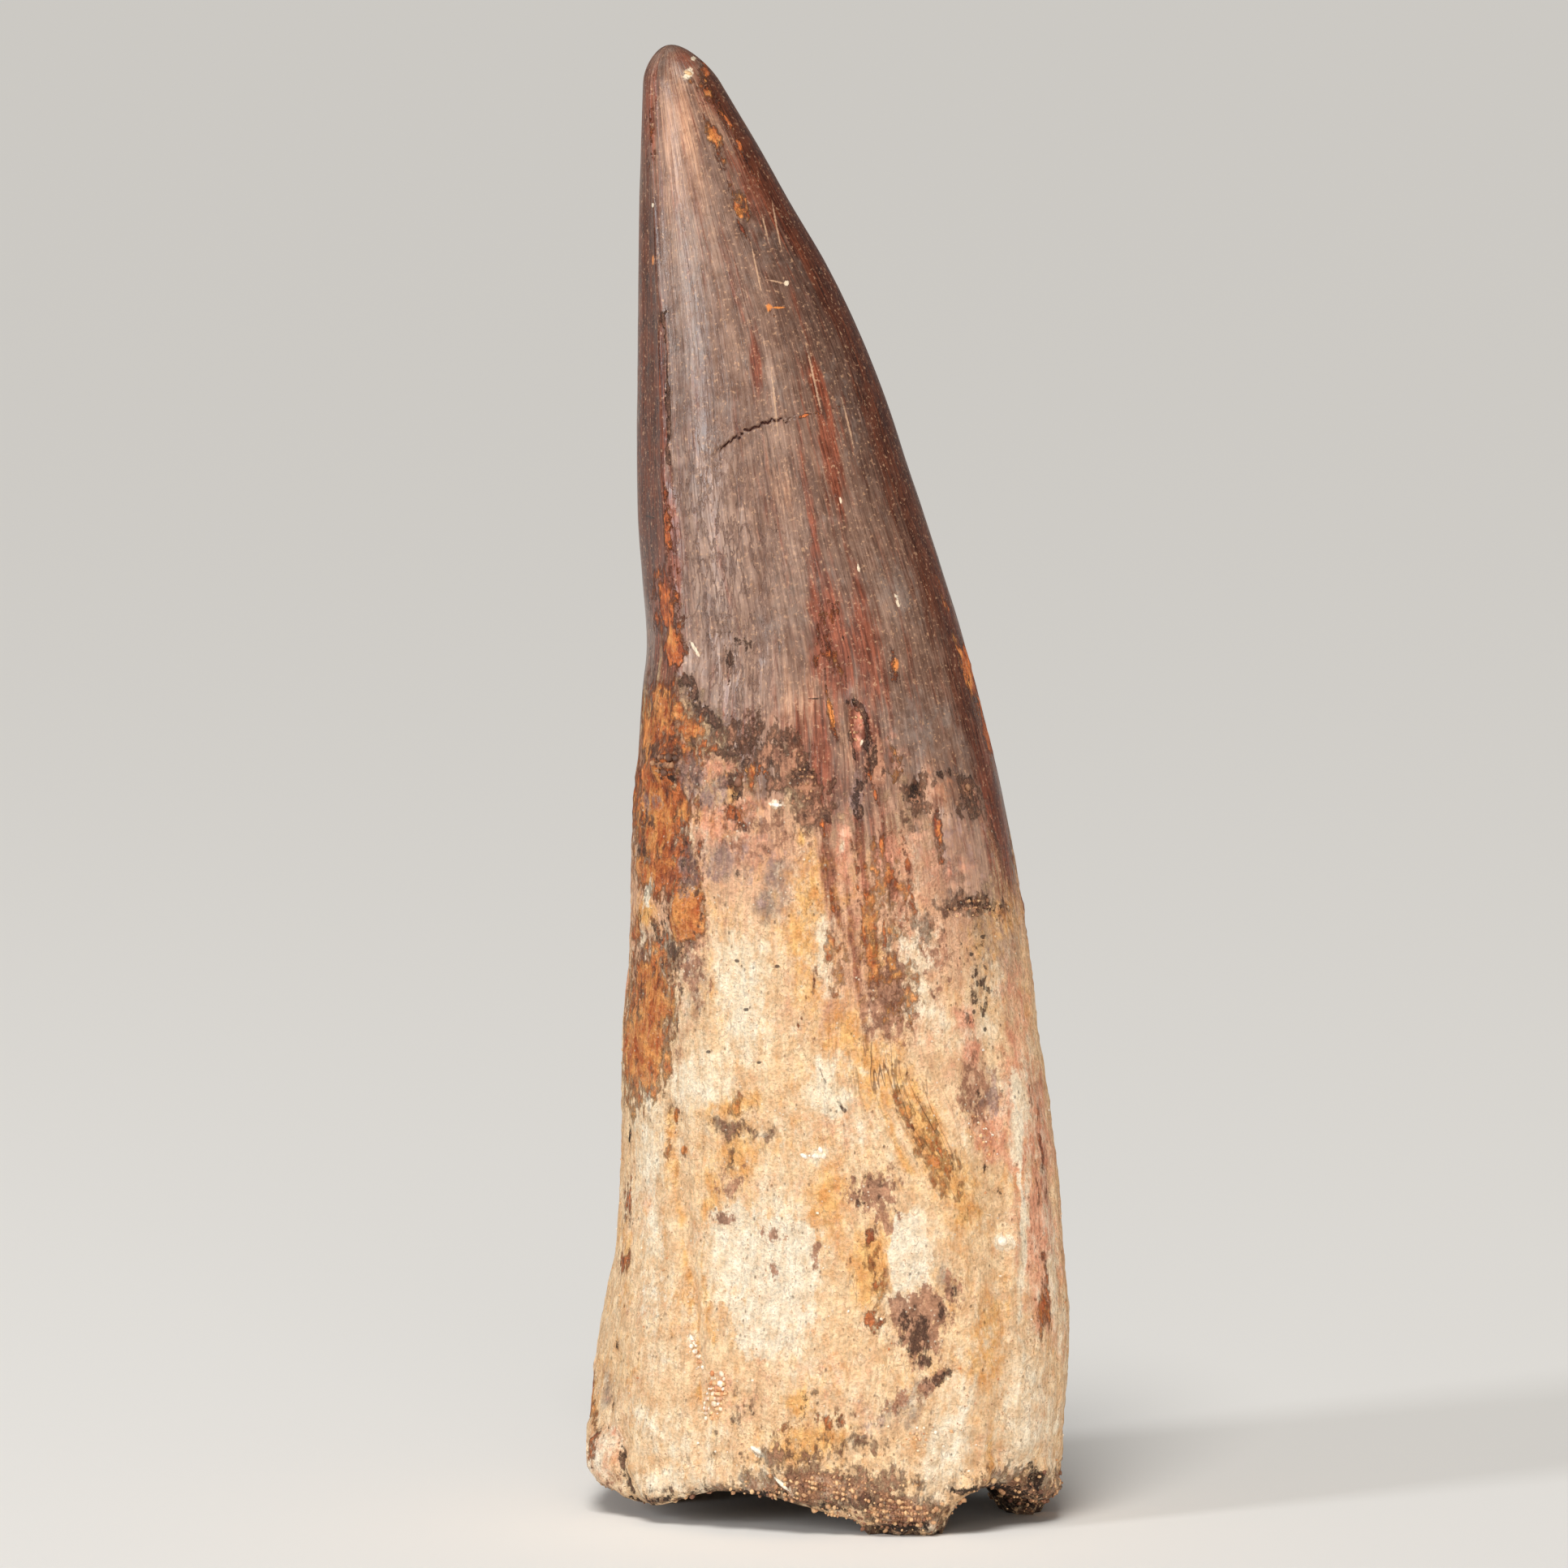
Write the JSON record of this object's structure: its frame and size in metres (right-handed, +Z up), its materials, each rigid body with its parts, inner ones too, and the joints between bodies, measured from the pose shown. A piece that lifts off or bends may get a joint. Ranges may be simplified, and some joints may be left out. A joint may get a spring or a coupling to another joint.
{
  "type": "fossil spinosaurus tooth",
  "caption": "Large curved fossil tooth with a dark glossy crown and a pale weathered root, standing upright on its broken root.",
  "frame": {"origin": "on the resting plane, under the middle of the tooth's box", "axes": "+Z up along the tooth from the broken root to the tip, -Y towards the show side, +X towards the long convex edge"},
  "size_m": [0.0415, 0.0332, 0.1256],
  "materials": {
    "fossil": "glossy brown enamel on the crown, matt cream and tan dentine on the root, granular sand crust at the broken end"
  },
  "bodies": {
    "root": {"tooth": "fossil"}
  },
  "joints": []
}
